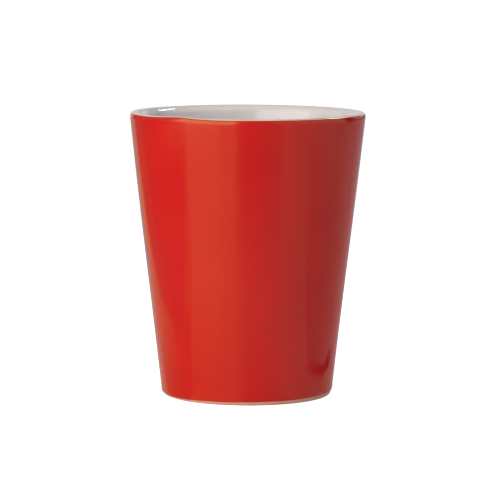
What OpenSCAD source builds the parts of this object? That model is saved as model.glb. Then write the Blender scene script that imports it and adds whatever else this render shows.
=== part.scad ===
// Glazed clay cup without a handle.
// A straight tapered clay body stands on a bare foot ring. It carries a red coat of glaze outside,
// a white coat inside, a pale line along the lip where the two coats thin out and meet, and a white
// coat in the hollow under the foot. The coats follow the clay at one thickness and touch it all over.
// The cup stands on the XY plane with its axis on Z. Lengths are in millimetres, angles in degrees.

/* [Cup] */
// Height from the table to the crest of the lip
cup_h = 96.8; // [80:0.1:120]
// Largest outside diameter, at the lip
mouth_d = 80; // [72:1:96]
// Outside diameter at the table, before the corner of the foot is rounded
base_d = 58; // [50:1:68]

/* [Clay body] */
// Thickness of the clay wall
wall_t = 3.2; // [2.4:0.1:4.4]
// Thickness of the clay floor, above the hollow under the cup
floor_t = 4; // [3:0.1:6]
// Radius inside the cup between the wall and the floor
inner_corner_r = 8; // [4:0.5:14]

/* [Lip] */
// Radius of the slow curve on the outer side of the clay lip
lip_side_r = 2.25; // [1.8:0.05:3.5]
// Radius of the tight edge between that curve and the crest
lip_edge_r = 0.55; // [0.4:0.05:1]
// Angle from level outwards at which the slow curve gives way to the tight edge
lip_edge_angle = 25; // [15:1:28]

/* [Foot] */
// Radius of the rounded outer corner of the foot
foot_corner_r = 1.2; // [0.8:0.1:3]
// Width of the flat ring that stands on the table
foot_land_w = 3.4; // [2:0.1:6]
// Radius of the rounded inner edge of the foot ring
foot_edge_r = 0.6; // [0.3:0.1:0.9]
// Height of the hollow inside the foot ring
hollow_h = 2; // [1.6:0.1:3]

/* [Glaze] */
// Thickness of the glaze coats
glaze_t = 0.35; // [0.2:0.05:0.5]
// Height of the clay left bare between the table and the red coat
bare_foot_h = 1.5; // [0.8:0.1:4]
// Angle round the lip, from level outwards, at which the red coat ends
red_end_angle = 38; // [36:1:75]

/* [Hidden] */

// Sides of a turned form, and straight steps along each rounded corner of a section
$fn = 180;
arc_steps = 12;

// How far a cut runs past what it removes
overrun = 1;

// Lip, outside: the clay's slow curve reaches out to the mouth's diameter, less the glaze over it,
// and the tight edge runs on from it to the clay's crest
crest_z = cup_h - glaze_t;
lip_edge_shift = (lip_side_r - lip_edge_r) * [cos(lip_edge_angle), sin(lip_edge_angle)];
lip_side_centre = [mouth_d / 2 - glaze_t - lip_side_r, crest_z - lip_edge_r - lip_edge_shift[1]];
lip_edge_centre = lip_side_centre + lip_edge_shift;

// Lean of the wall from upright: its face runs straight from the table to a tangent on the slow curve
lip_from_base = lip_side_centre - [base_d / 2, 0];
lean = 90 - atan2(lip_from_base[1], lip_from_base[0]) + asin((lip_side_r + glaze_t) / norm(lip_from_base));

// Lip, inside: one curve from the crest to a tangent on the clay's inner face
inner_face_at_crest = behind_face(glaze_t + wall_t, crest_z);
lip_inner_r = (lip_edge_centre[0] - inner_face_at_crest) / (1 / cos(lean) - tan(lean));
lip_inner_centre = [lip_edge_centre[0], crest_z - lip_inner_r];

// Inside: the clay floor and the round between floor and wall
floor_z = hollow_h + floor_t;
inner_centre_z = floor_z + inner_corner_r;
inner_centre = [behind_face(glaze_t + wall_t + inner_corner_r, inner_centre_z), inner_centre_z];

// Foot: its rounded outer corner, its rounded inner edge and the cove up to the hollow's ceiling
foot_centre = [behind_face(glaze_t + foot_corner_r, foot_corner_r), foot_corner_r];
edge_centre = [foot_centre[0] - foot_land_w, foot_edge_r];
cove_r = hollow_h - foot_edge_r;
cove_centre = [edge_centre[0] - foot_edge_r - cove_r, foot_edge_r];

// Distance from the axis, at height z, of a line that runs a given depth behind the wall's outer face
function behind_face(depth, z) = base_d / 2 + z * tan(lean) - depth / cos(lean);

// Points of an arc, with both its ends
function arc(centre, r, from, to) =
    [for (i = [0 : arc_steps])
        let (a = from + (to - from) * i / arc_steps)
        centre + r * [cos(a), sin(a)]];

function reversed(path) = [for (i = [len(path) - 1 : -1 : 0]) path[i]];

// The next four functions give the section lines of the cup, a distance t out from the clay:
// zero for the clay's own surface, the coat's thickness for its glazed face.
// Outside, from under the foot's corner up the wall to the end of the red coat
function outer_path(t) = concat(
    arc(foot_centre, foot_corner_r + t, -90, -lean),
    arc(lip_side_centre, lip_side_r + t, -lean, lip_edge_angle),
    arc(lip_edge_centre, lip_edge_r + t, lip_edge_angle, red_end_angle));

// Along the lip, from the red coat to the crest, where the white coat begins
function rim_path(t) = arc(lip_edge_centre, lip_edge_r + t, red_end_angle, 90);

// Inside, from the crest of the lip down to the middle of the floor
function inner_path(t) = concat(
    arc(lip_inner_centre, lip_inner_r + t, 90, 180 - lean),
    arc(inner_centre, inner_corner_r - t, -lean, -90),
    [[0, floor_z + t]]);

// Underneath, from the middle of the hollow's ceiling to the foot ring
function under_path(t) = concat(
    [[0, hollow_h - t]],
    arc(cove_centre, cove_r - t, 90, 0));

// Section of a coat between its glazed face and the clay
module coat_section(glazed_path, clay_path) {
    polygon(concat(glazed_path, reversed(clay_path)));
}

// Fired clay: wall, lip, floor and foot ring in one turned piece
module clay_body() {
    color("#cf8f76")
        rotate_extrude()
            polygon(concat(
                outer_path(0),
                rim_path(0),
                inner_path(0),
                under_path(0),
                arc(edge_centre, foot_edge_r, 180, 270)));
}

// Red coat, cut off level above the table so that the foot stays bare
module outer_glaze() {
    cut_depth = glaze_t + overrun;
    color("#c8281f")
        rotate_extrude()
            difference() {
                coat_section(outer_path(glaze_t), outer_path(0));
                translate([0, -cut_depth])
                    square([mouth_d, cut_depth + bare_foot_h]);
            }
}

// White coat over the crest of the lip, the inside wall and the floor
module inner_glaze() {
    color("#dcd8d4")
        rotate_extrude()
            coat_section(inner_path(glaze_t), inner_path(0));
}

// Pale line along the lip, where the red and the white coat thin out and meet
module rim_glaze() {
    color("#e0ab9b")
        rotate_extrude()
            coat_section(rim_path(glaze_t), rim_path(0));
}

// White coat in the hollow inside the foot ring
module underside_glaze() {
    color("#dcd8d4")
        rotate_extrude()
            coat_section(under_path(glaze_t), under_path(0));
}

clay_body();
outer_glaze();
inner_glaze();
rim_glaze();
underside_glaze();
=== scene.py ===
"""Glazed clay cup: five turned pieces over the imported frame, their glazes, a white floor, light, camera."""
import math

import bmesh
import bpy
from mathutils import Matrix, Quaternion, Vector


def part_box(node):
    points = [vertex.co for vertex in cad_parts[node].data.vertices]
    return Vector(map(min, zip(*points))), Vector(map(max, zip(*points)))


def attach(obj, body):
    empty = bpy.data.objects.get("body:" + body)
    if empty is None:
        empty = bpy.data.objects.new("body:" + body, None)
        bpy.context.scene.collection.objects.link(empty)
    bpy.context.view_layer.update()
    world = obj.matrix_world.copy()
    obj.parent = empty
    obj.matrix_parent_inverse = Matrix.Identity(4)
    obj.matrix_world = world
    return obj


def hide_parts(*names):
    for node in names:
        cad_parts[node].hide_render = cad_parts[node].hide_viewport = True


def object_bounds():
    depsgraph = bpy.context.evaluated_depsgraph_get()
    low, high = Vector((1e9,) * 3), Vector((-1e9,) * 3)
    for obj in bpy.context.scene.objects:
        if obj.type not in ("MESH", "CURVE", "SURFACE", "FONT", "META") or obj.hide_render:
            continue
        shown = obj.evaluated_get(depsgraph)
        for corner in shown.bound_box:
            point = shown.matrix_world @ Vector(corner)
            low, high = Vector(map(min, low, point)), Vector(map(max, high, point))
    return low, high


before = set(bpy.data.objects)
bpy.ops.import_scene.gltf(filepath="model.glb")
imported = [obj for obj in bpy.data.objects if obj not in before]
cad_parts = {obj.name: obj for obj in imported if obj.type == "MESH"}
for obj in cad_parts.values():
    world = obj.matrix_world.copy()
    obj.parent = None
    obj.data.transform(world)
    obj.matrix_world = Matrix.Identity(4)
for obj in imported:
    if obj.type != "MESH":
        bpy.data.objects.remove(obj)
cad_low, cad_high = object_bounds()

# Sizes of the turned section, in metres. The frame gives the outside sizes and the coats.
MM = 0.001
cup_h = cad_high.z
mouth_r = cad_high.x
glaze_t = mouth_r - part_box("clay_body")[1].x
bare_foot_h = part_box("outer_glaze")[0].z
floor_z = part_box("inner_glaze")[0].z
hollow_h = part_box("underside_glaze")[1].z
hollow_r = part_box("underside_glaze")[1].x
foot_edge_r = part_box("underside_glaze")[0].z
base_r = 29 * MM
wall_t = 3.2 * MM
inner_corner_r = 8 * MM
foot_corner_r = 1.2 * MM
lip_side_r = 2.25 * MM
lip_edge_r = 0.55 * MM
lip_edge_angle = 25

# Angle round the lip, in degrees from level outwards, at which the red coat ends
red_end_angle = 32

# Places in the section are (distance from the axis, height). The lip has a slow curve on its outer side,
# a tight edge from there to the crest, and one curve on its inner side.
crest_z = cup_h - glaze_t
edge_step = lip_side_r - lip_edge_r
edge_turn = math.radians(lip_edge_angle)
lip_side_centre = (
    mouth_r - glaze_t - lip_side_r,
    crest_z - lip_edge_r - edge_step * math.sin(edge_turn))
lip_edge_centre = (
    lip_side_centre[0] + edge_step * math.cos(edge_turn),
    crest_z - lip_edge_r)

# Lean of the wall, whose face runs straight from the table to a tangent on the slow curve
lip_reach = math.hypot(lip_side_centre[0] - base_r, lip_side_centre[1])
lean = math.atan2(lip_side_centre[0] - base_r, lip_side_centre[1])
lean += math.asin((lip_side_r + glaze_t) / lip_reach)
lean_angle = math.degrees(lean)


def behind_face(depth, z):
    """Distance from the axis, at height z, of a line a given depth behind the wall's outer face."""
    return base_r + z * math.tan(lean) - depth / math.cos(lean)


lip_inner_r = lip_edge_centre[0] - behind_face(glaze_t + wall_t, crest_z)
lip_inner_r /= 1 / math.cos(lean) - math.tan(lean)
lip_inner_centre = (lip_edge_centre[0], crest_z - lip_inner_r)
inner_centre_z = floor_z + inner_corner_r
inner_centre = (behind_face(glaze_t + wall_t + inner_corner_r, inner_centre_z), inner_centre_z)
foot_centre = (behind_face(glaze_t + foot_corner_r, foot_corner_r), foot_corner_r)
cove_r = hollow_h - foot_edge_r
cove_centre = (hollow_r - cove_r, foot_edge_r)
edge_centre = (hollow_r + foot_edge_r, foot_edge_r)

# Fineness of the meshes
sides = 240
wall_rows = 28
corner_rows = 12
red_edge_rows = 14

# Angle, in degrees, from which an edge between two faces is sharp
sharp_angle = 40


def arc(centre, radius, start, end, rows=corner_rows):
    """Points of an arc in the section, with both its ends; angles in degrees."""
    points = []
    for i in range(rows + 1):
        a = math.radians(start + (end - start) * i / rows)
        points.append((centre[0] + radius * math.cos(a), centre[1] + radius * math.sin(a)))
    return points


def straight(start, end, rows=wall_rows):
    """Points between two ends of a straight line in the section, without the ends."""
    points = []
    for i in range(1, rows):
        s = i / rows
        points.append((start[0] + (end[0] - start[0]) * s, start[1] + (end[1] - start[1]) * s))
    return points


def joined(first, second):
    """Two runs of section points with the straight wall between them cut into rows."""
    return first + straight(first[-1], second[0]) + second


# How this one cup departs from a true turned form

# Turns round the cup at which the lip rises most and at which it dips, in radians, 0 towards the camera
rise_turn = -0.63
dip_turn = 0.87


def near(turn, place, width):
    """1 at a place round the cup, falling to 0 over a width in radians on both sides."""
    away = math.remainder(turn - place, 2 * math.pi)
    return math.exp(-(away / width) ** 2)


def out_of_round(turn, z):
    """How far the wall stands out from a true cone: a soft swell on one side, a faint waist below half
    height with a fuller part above it, and a slow waver inwards."""
    swell_depth = 0.17 * MM
    waist_depth = 0.085 * MM
    waver_depth = 0.012 * MM
    up = z / cup_h
    swell = swell_depth * (0.5 - 0.5 * math.sin(turn)) * math.sin(math.pi * up)
    waist = waist_depth * math.sin(2 * math.pi * up)
    waver = math.sin(2 * turn + 0.7) + 0.6 * math.sin(3 * turn + 2.1) - 2.6
    return swell - waist + waver_depth * waver * up


def lip_dip(turn):
    """How far the lip lies below the frame's top, which differs round the mouth."""
    even_dip = 0.42 * MM
    side_lift = 0.085 * MM * math.sin(turn) ** 2 * (1 + math.cos(turn))
    rise = 0.27 * MM * near(turn, rise_turn, 0.17)
    dip = 0.15 * MM * near(turn, dip_turn, 0.09)
    return even_dip - side_lift - rise + dip


def off_true(turn, r, z):
    """Place of a section point at a turn. The lip's rise and dip fade out quickly down the wall."""
    fade = 4
    r += out_of_round(turn, z)
    z -= lip_dip(turn) * (z / cup_h) ** fade
    return (r * math.sin(turn), -r * math.cos(turn), z)


def foot_line(turn):
    """Height of the red coat's lower edge, which hangs lower on one side and wavers round the foot."""
    hang = 0.4 * math.sin(turn + 0.2) - 0.35
    waver = 0.05 * math.sin(4 * turn + 1.9) + 0.03 * math.sin(9 * turn)
    return bare_foot_h + (hang + waver) * MM


def red_end(turn):
    """Angle round the lip at which the red coat ends: it wavers, and climbs where the lip rises."""
    waver = 1.5 * math.sin(2 * turn + 1.2) + math.sin(5 * turn + 0.3)
    climb = 20 * near(turn, rise_turn, 0.26)
    return red_end_angle + waver + climb


def red_thickness(above_edge):
    """Thickness of the red coat: a rounded edge, a slight roll above it, then the even coat."""
    edge_h = 0.45 * MM
    roll_h = 1.6 * MM
    roll_share = 0.12
    if above_edge < edge_h:
        return glaze_t * math.sqrt(1 - (1 - above_edge / edge_h) ** 2)
    roll = math.sin(math.pi * min(above_edge - edge_h, roll_h) / roll_h)
    return glaze_t * (1 + roll_share * roll)


# Sections of the pieces, each a closed run of points at a turn, and the lines that make them up

def over_clay(z, t):
    """Point a distance t out from the clay's outer face, where the clay is at height z."""
    facing = -lean
    if z < foot_corner_r * (1 - math.sin(lean)):
        facing = math.asin(z / foot_corner_r - 1)
        r = foot_centre[0] + foot_corner_r * math.cos(facing)
    else:
        r = behind_face(glaze_t, z)
    return (r + t * math.cos(facing), z + t * math.sin(facing))


def outer_lip(t, end):
    """Section line of the lip from the wall to an angle on its tight edge, t out from the clay."""
    side = arc(lip_side_centre, lip_side_r + t, -lean_angle, lip_edge_angle)
    edge = arc(lip_edge_centre, lip_edge_r + t, lip_edge_angle, end)
    return side + edge[1:]


def red_section(turn):
    """Red coat outside, with rows that crowd towards its lower edge."""
    low = foot_line(turn)
    top = red_end(turn)
    span = 2.2 * MM
    crowding = 1.6
    glazed = []
    clay_side = []
    for i in range(red_edge_rows + 1):
        above = span * (i / red_edge_rows) ** crowding
        glazed.append(over_clay(low + above, red_thickness(above)))
        clay_side.append(over_clay(low + above, 0))
    glazed = joined(glazed, outer_lip(glaze_t, top))
    clay_side = joined(clay_side, outer_lip(0, top))
    return glazed + clay_side[:0:-1]


def rim_section(turn):
    """Pale line along the lip, from the red coat to the crest."""
    start = red_end(turn)
    glazed = arc(lip_edge_centre, lip_edge_r + glaze_t, start, 90)
    clay_side = arc(lip_edge_centre, lip_edge_r, start, 90)
    return glazed + clay_side[::-1]


def inside_path(t):
    """Section line inside the cup, from the lip's crest to the middle of the floor, t out from the clay."""
    lip = arc(lip_inner_centre, lip_inner_r + t, 90, 180 - lean_angle, 2 * corner_rows)
    corner = arc(inner_centre, inner_corner_r - t, -lean_angle, -90)
    middle = (0, floor_z + t)
    return joined(lip, corner) + straight(corner[-1], middle, corner_rows) + [middle]


def white_section(_turn):
    """White coat inside, the same all round."""
    return inside_path(glaze_t) + inside_path(0)[::-1]


def under_path(t):
    """Section line under the cup, from the middle of the hollow to the foot ring, t out from the clay."""
    middle = (0, hollow_h - t)
    cove = arc(cove_centre, cove_r - t, 90, 0)
    return [middle] + straight(middle, cove[0], corner_rows) + cove


def under_section(_turn):
    """White coat in the hollow under the foot, the same all round."""
    return under_path(glaze_t) + under_path(0)[::-1]


def clay_section(_turn):
    """Clay body with wall, lip, floor and foot ring, the same all round."""
    foot = arc(foot_centre, foot_corner_r, -90, -lean_angle)
    lip = outer_lip(0, 90)
    edge = arc(edge_centre, foot_edge_r, 180, 270)
    return joined(foot, lip) + inside_path(0)[1:] + under_path(0) + edge[1:]


def turned(name, section):
    """Closed solid turned round Z: section(turn) gives its section points at that angle, in order."""
    axis_r = 1e-9
    mesh = bpy.data.meshes.new(name)
    made = bmesh.new()
    on_axis = {}
    rings = []
    for i in range(sides):
        turn = 2 * math.pi * i / sides
        ring = []
        for k, (r, z) in enumerate(section(turn)):
            if r > axis_r:
                ring.append(made.verts.new(off_true(turn, r, z)))
                continue
            if k not in on_axis:
                on_axis[k] = made.verts.new((0, 0, z))
            ring.append(on_axis[k])
        rings.append(ring)
    for i in range(sides):
        here = rings[i]
        there = rings[(i + 1) % sides]
        for k in range(len(here)):
            n = (k + 1) % len(here)
            corners = [here[k], here[n], there[n], there[k]]
            face = list(dict.fromkeys(corners))
            if len(face) > 2:
                made.faces.new(face)
    bmesh.ops.recalc_face_normals(made, faces=made.faces)
    for face in made.faces:
        face.smooth = True
    made.to_mesh(mesh)
    made.free()
    mesh.set_sharp_from_angle(angle=math.radians(sharp_angle))
    piece = bpy.data.objects.new(name, mesh)
    bpy.context.scene.collection.objects.link(piece)
    return piece


def dress(name, section, node_name, material):
    """Makes a turned piece in place of a CAD node, on the cup's one body."""
    piece = turned(name, section)
    piece.data.materials.append(material)
    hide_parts(node_name)
    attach(piece, "root")


# Materials

# Range that holds most values of a noise, and the refraction of the glazes
noise_low = 0.3
noise_high = 0.7
glaze_ior = 1.5


def add_node(tree, kind, inputs=None, **settings):
    """Adds a node; an input is a value or the socket that feeds it."""
    made = tree.nodes.new(kind)
    for key, value in settings.items():
        setattr(made, key, value)
    for key, value in (inputs or {}).items():
        if isinstance(value, bpy.types.NodeSocket):
            tree.links.new(value, made.inputs[key])
        else:
            made.inputs[key].default_value = value
    return made


def new_material(name):
    """A material, its node tree and its shader."""
    material = bpy.data.materials.new(name)
    material.use_nodes = True
    tree = material.node_tree
    return material, tree, tree.nodes["Principled BSDF"]


def object_place(tree):
    """Place on the object."""
    return add_node(tree, "ShaderNodeTexCoord").outputs["Object"]


def upright_part(tree, vector):
    """The Z part of a place or a direction."""
    return add_node(tree, "ShaderNodeSeparateXYZ", {0: vector}).outputs["Z"]


def noise(tree, place, size, detail=2.0):
    """Noise whose features are about size metres across, from 0 to 1."""
    made = add_node(tree, "ShaderNodeTexNoise", {"Vector": place, "Scale": 1 / size, "Detail": detail})
    return made.outputs[0]


def spread(tree, value, low, high, to_low=0.0, to_high=1.0):
    """Maps low..high to to_low..to_high, held at both ends."""
    made = add_node(tree, "ShaderNodeMapRange", {
        "Value": value, "From Min": low, "From Max": high, "To Min": to_low, "To Max": to_high})
    return made.outputs[0]


def mottle(tree, place, size, to_low=0.0, to_high=1.0, detail=2.0):
    """Patches about size metres across, spread over to_low..to_high."""
    return spread(tree, noise(tree, place, size, detail), noise_low, noise_high, to_low, to_high)


def specks(tree, place, size, share):
    """Small round specks, from 0 between them to 1 in their middle. Each takes up a share of its cell."""
    full_share = 0.4 * share
    cells = add_node(tree, "ShaderNodeTexVoronoi", {"Vector": place, "Scale": 1 / size})
    return spread(tree, cells.outputs["Distance"], share, full_share)


def blend_colour(tree, share, first, second):
    """Colour between first and second by a share from 0 to 1."""
    made = add_node(tree, "ShaderNodeMix", {0: share, 6: first, 7: second}, data_type="RGBA")
    return made.outputs[2]


def speckled(tree, dots, strength, colour, speck_colour):
    """A colour with specks of another over it, at a strength from 0 to 1."""
    return blend_colour(tree, spread(tree, dots, 0, 1, 0, strength), colour, speck_colour)


def relief(tree, height, depth, under=None):
    """Bump of a given depth in metres, over another bump if there is one."""
    made = add_node(tree, "ShaderNodeBump", {"Height": height, "Distance": depth, "Strength": 1.0})
    if under is not None:
        tree.links.new(under, made.inputs["Normal"])
    return made.outputs[0]


def feed(tree, shader, colour, roughness, skin):
    """Gives a shader its colour, its roughness and its bump."""
    tree.links.new(colour, shader.inputs["Base Color"])
    tree.links.new(roughness, shader.inputs["Roughness"])
    tree.links.new(skin, shader.inputs["Normal"])


def red_glaze():
    """Glossy red with fine dark pits, another tone where it pools at the foot, and painted shade that darkens
    the lip where it faces up, where the thin glaze also turns a little more orange.
    """
    deep_red = (0.585, 0.0085, 0.0105, 1)
    bright_red = (0.625, 0.0105, 0.0105, 1)
    pit_red = (0.35, 0.006, 0.006, 1)
    pool_red = (0.58, 0.012, 0.008, 1)
    # Painted shade: a darker, slightly more orange red for the lip where it faces up
    shaded_lip_red = (0.4, 0.03, 0.02, 1)
    pool_h = 2.2 * MM
    shade_tilt = (0.12, 0.42)
    material, tree, shader = new_material("red_glaze")
    place = object_place(tree)
    colour = blend_colour(tree, mottle(tree, place, 22 * MM, detail=3), deep_red, bright_red)
    pits = specks(tree, place, 1.6 * MM, 0.16)
    colour = speckled(tree, pits, 0.25, colour, pit_red)
    pooled = spread(tree, upright_part(tree, place), bare_foot_h + pool_h, bare_foot_h)
    colour = blend_colour(tree, pooled, colour, pool_red)
    # Painted shade on the lip: the red darkens as the surface turns to face upwards
    facing = add_node(tree, "ShaderNodeTexCoord").outputs["Normal"]
    lip_shade = spread(tree, upright_part(tree, facing), *shade_tilt)
    colour = blend_colour(tree, lip_shade, colour, shaded_lip_red)
    roughness = mottle(tree, place, 9 * MM, 0.09, 0.13)
    skin = relief(tree, noise(tree, place, 3 * MM, 1), 0.003 * MM)
    skin = relief(tree, spread(tree, pits, 0, 1, 1, 0), 0.004 * MM, skin)
    feed(tree, shader, colour, roughness, skin)
    shader.inputs["IOR"].default_value = glaze_ior
    shader.inputs["Specular Tint"].default_value = (0.6, 1.0, 0.56, 1)
    return material


def white_glaze():
    """Glossy, slightly warm white with a few small brown specks."""
    dull_white = (0.69, 0.65, 0.64, 1)
    clear_white = (0.72, 0.685, 0.675, 1)
    speck_brown = (0.36, 0.31, 0.27, 1)
    material, tree, shader = new_material("white_glaze")
    place = object_place(tree)
    colour = blend_colour(tree, mottle(tree, place, 18 * MM, detail=3), dull_white, clear_white)
    colour = speckled(tree, specks(tree, place, 2.6 * MM, 0.11), 0.3, colour, speck_brown)
    roughness = mottle(tree, place, 9 * MM, 0.08, 0.13)
    skin = relief(tree, noise(tree, place, 3 * MM, 1), 0.003 * MM)
    feed(tree, shader, colour, roughness, skin)
    shader.inputs["IOR"].default_value = glaze_ior
    return material


def rim_glaze():
    """Thin, peach-coloured glaze along the lip, a little less glossy than the coats."""
    deep_peach = (0.78, 0.47, 0.38, 1)
    pale_peach = (0.85, 0.56, 0.46, 1)
    material, tree, shader = new_material("rim_glaze")
    place = object_place(tree)
    colour = blend_colour(tree, mottle(tree, place, 4 * MM, detail=3), deep_peach, pale_peach)
    roughness = mottle(tree, place, 2 * MM, 0.14, 0.24)
    skin = relief(tree, noise(tree, place, 1 * MM), 0.004 * MM)
    feed(tree, shader, colour, roughness, skin)
    shader.inputs["IOR"].default_value = glaze_ior
    return material


def clay():
    """Matt, grainy buff clay with pale grog in it."""
    deep_buff = (0.74, 0.345, 0.245, 1)
    light_buff = (0.84, 0.45, 0.33, 1)
    pale_grog = (0.86, 0.62, 0.48, 1)
    material, tree, shader = new_material("clay")
    place = object_place(tree)
    colour = blend_colour(tree, mottle(tree, place, 6 * MM, detail=4), deep_buff, light_buff)
    grog = specks(tree, place, 0.7 * MM, 0.3)
    colour = speckled(tree, grog, 0.5, colour, pale_grog)
    roughness = mottle(tree, place, 1 * MM, 0.75, 0.95)
    grain = relief(tree, noise(tree, place, 0.35 * MM, 3), 0.03 * MM)
    skin = relief(tree, grog, 0.02 * MM, grain)
    feed(tree, shader, colour, roughness, skin)
    return material


# Pieces

white = white_glaze()
dress("cup_clay", clay_section, "clay_body", clay())
dress("red_coat", red_section, "outer_glaze", red_glaze())
dress("lip_line", rim_section, "rim_glaze", rim_glaze())
dress("white_coat", white_section, "inner_glaze", white)
dress("underside_coat", under_section, "underside_glaze", white)


# Stage: floor, world, lamps, cards and camera

# Azimuths and elevations are in degrees, distances and heights in metres. Azimuth 0 is towards the camera,
# and positive azimuths lie to its right.

# Distances of the table's edge and the room's walls from the cup's axis, and height of the ceiling
table_r = 1.3
room_r = 1.35
ceiling_z = 5.0

# Cards on the floor lie in thin layers, so that one covers another
layer = 0.1 * MM

# Tints of cards: their blue or their red as a share of their green
cool_blue = 1.24
warm_blue = 0.62
more_red = 1.5


def around(azimuth, distance, z=0.0):
    """Place at an azimuth and a distance from the cup's axis."""
    a = math.radians(azimuth)
    return Vector((distance * math.sin(a), -distance * math.cos(a), z))


def staged(name, points, faces, material):
    """A stage mesh, which isn't part of the object."""
    mesh = bpy.data.meshes.new(name)
    mesh.from_pydata(points, [], faces)
    mesh.materials.append(material)
    made = bpy.data.objects.new(name, mesh)
    bpy.context.scene.collection.objects.link(made)
    return made


def bare_material(name):
    """A material without nodes yet, whose glow isn't sampled as a lamp, and its node tree."""
    material = bpy.data.materials.new(name)
    material.use_nodes = True
    material.cycles.emission_sampling = "NONE"
    material.node_tree.nodes.clear()
    return material, material.node_tree


def seen_rays(tree):
    """1 for rays from the camera, off gloss or through glass, 0 for the rest."""
    path = add_node(tree, "ShaderNodeLightPath")
    first = add_node(tree, "ShaderNodeMath", {
        0: path.outputs["Is Camera Ray"], 1: path.outputs["Is Glossy Ray"]}, operation="MAXIMUM")
    both = add_node(tree, "ShaderNodeMath", {
        0: first.outputs[0], 1: path.outputs["Is Transmission Ray"]}, operation="MAXIMUM")
    return both.outputs[0]


def white_floor():
    """Matt floor that shows white where it is seen and keeps the cup's shadow."""
    half = 6.0
    floor_grey = (0.7, 0.7, 0.7, 1)
    seen_glow = 0.92
    material, tree = bare_material("floor")
    lit = add_node(tree, "ShaderNodeBsdfDiffuse", {"Color": floor_grey})
    glow_level = add_node(tree, "ShaderNodeMath", {0: seen_rays(tree), 1: seen_glow}, operation="MULTIPLY")
    glow = add_node(tree, "ShaderNodeEmission", {"Strength": glow_level.outputs[0]})
    both = add_node(tree, "ShaderNodeAddShader", {0: lit.outputs[0], 1: glow.outputs[0]})
    add_node(tree, "ShaderNodeOutputMaterial", {"Surface": both.outputs[0]})
    corners = [(-half, -half, 0), (half, -half, 0), (half, half, 0), (-half, half, 0)]
    staged("floor", corners, [(0, 1, 2, 3)], material)


def white_world():
    """World that shows white where it is seen, and lights the cup more from low down than from above."""
    heights = (0.2, 0.9)
    light_levels = (0.42, 0.08)
    world = bpy.data.worlds.new("studio")
    bpy.context.scene.world = world
    world.use_nodes = True
    tree = world.node_tree
    tree.nodes.clear()
    height = upright_part(tree, add_node(tree, "ShaderNodeTexCoord").outputs["Generated"])
    light = spread(tree, height, *heights, *light_levels)
    level = spread(tree, seen_rays(tree), 0, 1, light, 1.0)
    sky = add_node(tree, "ShaderNodeBackground", {"Color": (1, 1, 1, 1), "Strength": level})
    add_node(tree, "ShaderNodeOutputWorld", {"Surface": sky.outputs[0]})


def hang_lamp(name, lamp, place, aim):
    """Hangs a lamp at a place, aimed at another; its light shows and the lamp itself doesn't."""
    made = bpy.data.objects.new(name, lamp)
    made.location = place
    made.rotation_mode = "QUATERNION"
    made.rotation_quaternion = (aim - place).to_track_quat("-Z", "Y")
    made.visible_camera = False
    made.visible_glossy = False
    bpy.context.scene.collection.objects.link(made)


def panel_lamp(name, azimuth, distance, heights, width, radiance, colour=(1.0, 1.0, 1.0)):
    """Upright rectangular lamp that faces the cup's axis, of a given radiance."""
    lamp = bpy.data.lights.new(name, "AREA")
    lamp.shape = "RECTANGLE"
    lamp.size = width
    lamp.size_y = heights[1] - heights[0]
    lamp.energy = radiance * math.pi * lamp.size * lamp.size_y
    lamp.color = colour
    middle_z = (heights[0] + heights[1]) / 2
    hang_lamp(name, lamp, around(azimuth, distance, middle_z), Vector((0, 0, middle_z)))


def spot_lamp(name, place, aim, beam, energy):
    """Spot lamp with a soft edge, whose beam of a given angle in degrees is aimed at a place."""
    lamp = bpy.data.lights.new(name, "SPOT")
    lamp.energy = energy
    lamp.spot_size = math.radians(beam)
    lamp.spot_blend = 1.0
    lamp.shadow_soft_size = 0.05
    hang_lamp(name, lamp, place, aim)


def lamps():
    """A tall softbox at the left front, a lamp at the right back, a weak fill low at the right, and two
    spots that light the inside: its left wall and its floor."""
    softbox_colour = (1.0, 0.96, 0.93)
    left_inside = Vector((-0.03, 0.012, 0.088))
    inside_floor = Vector((0, 0, floor_z))
    panel_lamp("softbox", azimuth=-41, distance=0.7, heights=(0.05, 1.5), width=0.91, radiance=2.78,
               colour=softbox_colour)
    panel_lamp("side_lamp", azimuth=128, distance=0.6, heights=(0.5, 0.7), width=0.2, radiance=7.4)
    panel_lamp("low_fill", azimuth=85, distance=0.1, heights=(0.001, 0.013), width=0.05, radiance=1.7)
    spot_lamp("inside_spot", around(105, 0.6, 0.68), left_inside, beam=8, energy=4.5)
    spot_lamp("floor_spot", around(0, 0.0, 1.0), inside_floor, beam=3.2, energy=9.0)


def card(name, points, reach, levels, blue, red=1.0):
    """Glowing strip that shows only in the gloss. Its level goes from the first of levels to the second
    over a reach of distances from its origin."""
    material, tree = bare_material(name)
    place = object_place(tree)
    away = add_node(tree, "ShaderNodeVectorMath", {0: place}, operation="LENGTH").outputs["Value"]
    level = spread(tree, away, *reach, *levels)
    glow = add_node(tree, "ShaderNodeEmission", {"Color": (red, 1.0, blue, 1), "Strength": level})
    add_node(tree, "ShaderNodeOutputMaterial", {"Surface": glow.outputs[0]})
    count = len(points) // 2
    faces = [(i, i + 1, count + i + 1, count + i) for i in range(count - 1)]
    made = staged(name, points, faces, material)
    made.visible_camera = False
    made.visible_diffuse = False
    made.visible_shadow = False
    made.visible_transmission = False
    made.visible_volume_scatter = False
    return made


def even(level):
    """Levels of a card that is the same all over."""
    return (level, level)


def sweep(azimuths):
    """Azimuths from the first to the second, in even steps."""
    steps = 24
    return [azimuths[0] + (azimuths[1] - azimuths[0]) * i / steps for i in range(steps + 1)]


def flat_card(name, z, azimuths, levels, reach=(0.0, 1.0), centre=(0, 0), start=0.001, end=table_r,
              blue=1.0, red=1.0):
    """Level card at height z: a sector between two distances from its centre."""
    inner = [around(a, start) for a in sweep(azimuths)]
    outer = [around(a, end) for a in sweep(azimuths)]
    made = card(name, inner + outer, reach, levels, blue, red)
    made.location = (centre[0], centre[1], z)


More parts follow.
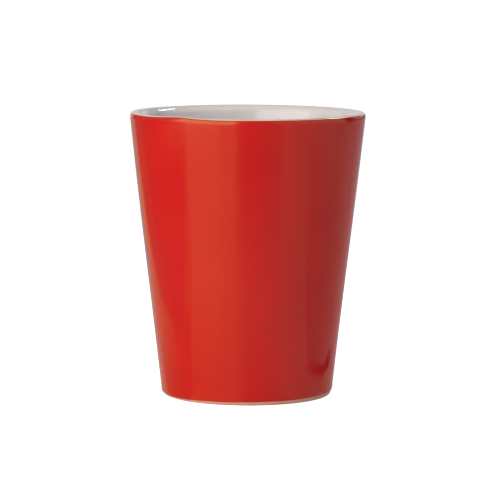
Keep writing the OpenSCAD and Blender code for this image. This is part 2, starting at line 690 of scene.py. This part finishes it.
def room_card(name, azimuths, elevations, levels, rise=(0, 60), distance=room_r, blue=1.0):
    """Upright curved card between two elevations, whose level changes over a rise in elevation."""
    low, high = [distance * math.tan(math.radians(e)) for e in elevations]
    foot = [around(a, distance, low) for a in sweep(azimuths)]
    head = [around(a, distance, high) for a in sweep(azimuths)]
    reach = [distance / math.cos(math.radians(e)) for e in rise]
    card(name, foot + head, reach, levels, blue)


def table_cards():
    """The table on both sides of the cup, and the part of it beside the right foot."""
    flat_card("left_table", layer, (-147, -20), even(0.5), blue=0.5)
    flat_card("left_back", layer, (-200, -147), even(0.47), blue=0.9, red=0.6)
    flat_card("right_table", layer, (-20, 95), even(0.53), blue=cool_blue)
    flat_card("right_side", layer, (95, 125), even(0.42), blue=0.95, red=more_red)
    flat_card("right_back", layer, (125, 160), even(0.34), blue=1.04, red=more_red)
    flat_card("right_foot", 2 * layer, (72, 130), even(0.38), end=0.06, blue=0.85)
    flat_card("right_foot_front", 2 * layer, (46, 72), even(0.47), end=0.05, blue=1.07)
    flat_card("right_behind", 3 * layer, (108, 125), even(0.29), start=0.058, end=0.1,
              blue=1.09, red=more_red)


def share_before(azimuth, border, softness):
    """1 well before a border, falling smoothly to 0 past it."""
    return 1 / (1 + math.exp((azimuth - border) / softness))


def front_cards():
    """The table before the cup: bright on the left, then narrow cards that fade to grey past a soft
    border, and a darker patch at the foot."""
    bright_reach = (0.05, 0.15)
    flat_card("warm_left", 3 * layer, (-61, -45), (0.42, 0.87), bright_reach, blue=warm_blue)
    flat_card("warm_card", 3 * layer, (-45, -25), (0.56, 0.93), bright_reach, blue=warm_blue)
    flat_card("warm_side", 3 * layer, (-25, -12), (0.58, 0.78), bright_reach, blue=0.7)
    width = 3
    count = 15
    for i in range(count):
        azimuth = -10.5 + width * i
        near_share = share_before(azimuth, -7, 1.6)
        far_share = share_before(azimuth, -9.9, 1.3)
        far_grey = 0.16 + 0.00018 * azimuth ** 2
        levels = (0.42 + 0.2 * near_share, far_grey + (0.78 - far_grey) * far_share)
        azimuths = (azimuth - width / 2, azimuth + width / 2)
        flat_card("middle_card", 3 * layer, azimuths, levels, (0.14, 0.29), blue=1.38 - 0.66 * near_share)
    flat_card("middle_foot", 4 * layer, (-3, 22), (0.29, 0.42), (0.045, 0.1), end=0.1, blue=1.3)


def left_foot_cards():
    """Shade on the table at the left of the foot, and a dark flag farther out."""
    shade = (-0.02, -0.022)
    reach = (0.02, 0.08)
    flat_card("left_foot", 4 * layer, (-105, -73), (0.22, 0.28), (0.02, 0.09), shade, end=0.1, blue=0.66)
    flat_card("left_foot_side", 4 * layer, (-125, -105), (0.25, 0.42), reach, shade, end=0.1, blue=0.54)
    flat_card("left_foot_back", 4 * layer, (-141, -125), (0.28, 0.42), reach, shade, end=0.1, blue=0.6)
    flat_card("left_foot_edge", 2 * layer, (-165, -141), even(0.5), centre=shade, end=0.3, blue=0.8)
    flag_tip = (-0.098, -0.025)
    flag_reach = (0.1, 0.25)
    flat_card("left_flag", 5 * layer, (-133, -60), (0.21, 0.11), flag_reach, flag_tip, blue=0.76)
    flat_card("left_flag_back", 5 * layer, (-152, -133), (0.24, 0.17), flag_reach, flag_tip, blue=0.73)


def right_foot_cards():
    """A grey flag on the table at the right of the foot."""
    tip = (0.046, -0.011)
    front_tip = (0.046, -0.022)
    reach = (0.03, 0.3)
    start = 0.008
    end = 0.32
    flat_card("right_flag", 4 * layer, (62, 104), (0.33, 0.39), reach, tip, start, end, cool_blue)
    flat_card("right_flag_back", 4 * layer, (104, 146), even(0.36), reach, tip, start, end, 0.95, more_red)
    flat_card("right_flag_front", 4 * layer, (75, 100), even(0.33), centre=front_tip,
              start=0.009, end=0.045, blue=cool_blue)


def crescent_card(name, azimuths, levels, reach, start, end):
    """Stretch of a dark ring on the table at the right of the foot."""
    centre = (0.097, -0.002)
    flat_card(name, 5 * layer, azimuths, levels, reach, centre, start, end, cool_blue)


def crescent_cards():
    """A dark crescent in three stretches, with a soft rim along two of them on the cup's side."""
    crescent_card("crescent_start", (-74, -60), (0.33, 0.16), (0.03, 0.038), 0.03, 0.0445)
    crescent_card("crescent_middle", (-140, -74), (0.36, 0.045), (0.0295, 0.036), 0.029, 0.0435)
    crescent_card("crescent_end", (-154, -140), (0.36, 0.14), (0.033, 0.038), 0.033, 0.0455)
    crescent_card("start_rim", (-74, -60), (0.17, 0.36), (0.0445, 0.053), 0.0445, 0.053)
    crescent_card("middle_rim", (-96, -74), (0.07, 0.34), (0.0435, 0.0505), 0.0435, 0.0505)


def far_cards():
    """The bright table far before the cup and on its left, which the lip mirrors."""
    centre = (-0.04, 0.026)
    reach = (0.4, 0.55)
    for azimuths, first_level in (((-60, -20), 1.15), ((-20, -9), 0.7)):
        flat_card("warm_far", 6 * layer, azimuths, (first_level, 2.8), reach, centre, start=0.35, blue=0.7)
    width = 8
    for i in range(4):
        azimuth = -90 + width * i
        nearest = 0.39 - 0.012 * i
        levels = (0.13 + 0.03 * i, 0.24 + 0.16 * i)
        azimuths = (azimuth - width / 2, azimuth + width / 2)
        flat_card("warm_wing", 7 * layer, azimuths, levels, (nearest, nearest + 0.04),
                  start=nearest - 0.02, end=0.6, blue=warm_blue)


def softbox_cards():
    """The softbox's face in three bands with a soft right edge each, and the dark room beside and above."""
    left = -74
    right = 25
    top = 42
    edge = 5
    for elevations, border, blue in (((0, 7), -13, 0.65), ((7, 16), -10, 0.95), ((16, top), -13, 0.65)):
        room_card("softbox_face", (left, border), elevations, (1.85, 3.2), (4, 10), blue=blue)
        room_card("softbox_edge", (border, border + edge), elevations, (0.6, 1.0), (0, 30))
        room_card("dark_front", (border + edge, right), elevations, even(0.1))
    room_card("over_softbox", (left, -5), (top, 75), even(0.15))
    room_card("over_front", (-5, right), (top, 75), even(0.1))


def room_cards():
    """The ceiling, then the walls from the front round the right and the back to the softbox's left."""
    flat_card("ceiling", ceiling_z, (-180, 180), even(0.15), end=room_r)
    room_card("grey_front", (25, 50), (0, 66), even(0.6))
    room_card("grey_right", (50, 108), (0, 66), even(0.85))
    room_card("dark_right", (108, 150), (0, 75), even(0.05))
    room_card("near_right", (108, 121), (0, 26), even(0.05), distance=0.6)
    room_card("side_window", (125, 142), (36, 49.5), even(12.0), distance=1.2)
    room_card("side_wall", (127, 150), (5, 28), even(0.6), distance=1.3)
    room_card("back_side", (150, 167), (8, 26), even(1.1), distance=1.3)
    room_card("back_right", (150, 168), (0, 75), even(0.2))
    room_card("back_room", (168, 210), (0, 75), (0.65, 0.2), (8, 40))
    room_card("back_left", (-150, -135), (0, 75), even(0.08))
    room_card("dark_left", (-135, -95), (0, 75), even(0.15))
    room_card("left_room", (-95, -82), (0, 75), even(0.33))
    room_card("left_edge", (-82, -74), (0, 42), (0.7, 1.2), (8, 28))


def camera():
    """Camera with a long lens, a little above level, that takes in the cup with room round it."""
    elevation = math.radians(6.45)
    distance = 1.0216
    aim_shift = Vector((0.925 * MM, 0, 0.77 * MM))
    roll = Quaternion((0, 0, 1), 0.00416)
    made = bpy.data.objects.new("camera", bpy.data.cameras.new("camera"))
    bpy.context.scene.collection.objects.link(made)
    centre = Vector((0, 0, cup_h / 2))
    back = Vector((0, -math.cos(elevation), math.sin(elevation)))
    made.location = centre + back * distance
    made.rotation_mode = "QUATERNION"
    made.rotation_quaternion = (centre + aim_shift - made.location).to_track_quat("-Z", "Y") @ roll
    made.data.sensor_width = 36
    made.data.lens = 215.6
    made.data.clip_end = 50
    bpy.context.scene.camera = made


white_floor()
white_world()
lamps()
table_cards()
front_cards()
left_foot_cards()
right_foot_cards()
crescent_cards()
far_cards()
softbox_cards()
room_cards()
camera()

bpy.context.scene.view_settings.view_transform = "Standard"
